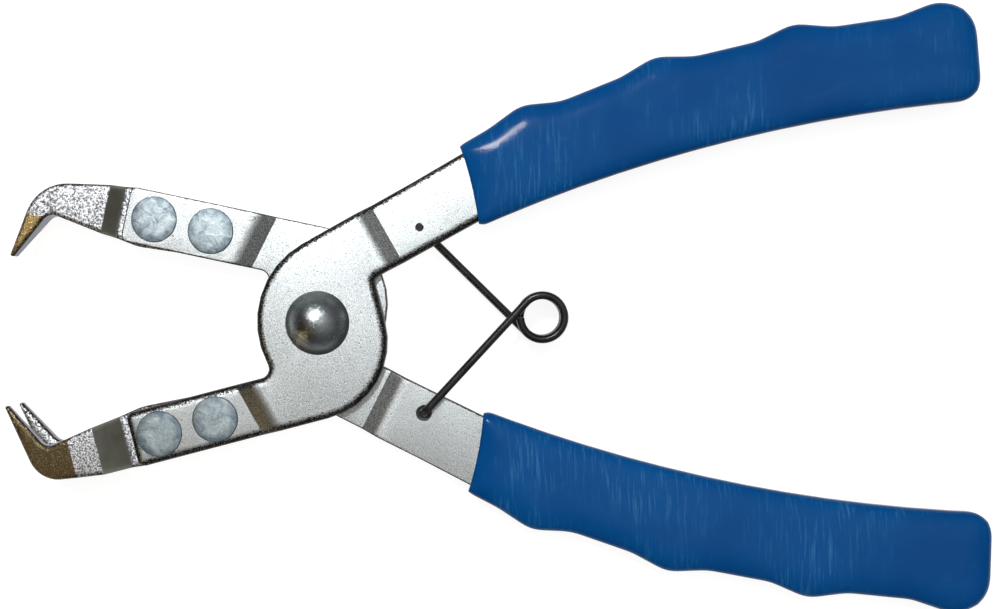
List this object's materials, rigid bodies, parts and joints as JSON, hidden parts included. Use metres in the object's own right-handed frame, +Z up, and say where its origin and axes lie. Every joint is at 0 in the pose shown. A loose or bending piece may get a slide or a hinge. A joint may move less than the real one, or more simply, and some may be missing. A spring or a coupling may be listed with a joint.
{
  "type": "clip removal pliers",
  "caption": "Sprung hand pliers with offset stamped arms, a hooked single claw that closes into a hooked forked claw, and dipped vinyl grips.",
  "frame": {"origin": "under the middle of the open tool's bounding box, level with the forked claw's rear face", "axes": "+X from the claws to the handles' ends, +Y towards the front grip's handle, +Z up out of the domed rivet head"},
  "size_m": [0.2188, 0.1366, 0.0142],
  "materials": {
    "plated_steel": "bright zinc plating with a fine speckle",
    "claw_steel": "coarse plated surface with a yellow tint in places",
    "rivet_zinc": "dull bluish zinc",
    "dome_steel": "smooth dark grey steel",
    "spring_black": "glossy black",
    "vinyl_blue": "glossy dipped vinyl"
  },
  "bodies": {
    "front": {"front_arm": "plated_steel", "pivot_rivet": "dome_steel", "forked_claw": "claw_steel", "front_jaw_rivet_outer": "rivet_zinc", "front_jaw_rivet_inner": "rivet_zinc", "front_grip": "vinyl_blue"},
    "rear": {"rear_arm": "plated_steel", "single_claw": "claw_steel", "rear_jaw_rivet_outer": "rivet_zinc", "rear_jaw_rivet_inner": "rivet_zinc", "rear_grip": "vinyl_blue"},
    "spring_front": {"spring_front_half": "spring_black"},
    "spring_rear": {"spring_rear_half": "spring_black"}
  },
  "joints": [
    {"name": "pivot", "type": "hinge", "parent": "front", "child": "rear", "pos_m": [-0.04009, 0, 0.0063], "axis": [0, 0, 1], "range_deg": [0, 33], "stiffness_Nm_per_rad": 2},
    {"name": "spring_front_swing", "type": "hinge", "parent": "front", "child": "spring_front", "pos_m": [-0.01703, 0.02075, 0.0063], "axis": [0, 0, 1], "range_deg": [0, 31]},
    {"name": "spring_rear_swing", "type": "hinge", "parent": "rear", "child": "spring_rear", "pos_m": [-0.01703, -0.02075, 0.0063], "axis": [0, 0, 1], "range_deg": [-31, 0]}
  ],
  "couplings": [
    {"joint": "spring_front_swing", "follows": "pivot", "ratio": 0.937},
    {"joint": "spring_rear_swing", "follows": "pivot", "ratio": -0.937}
  ]
}
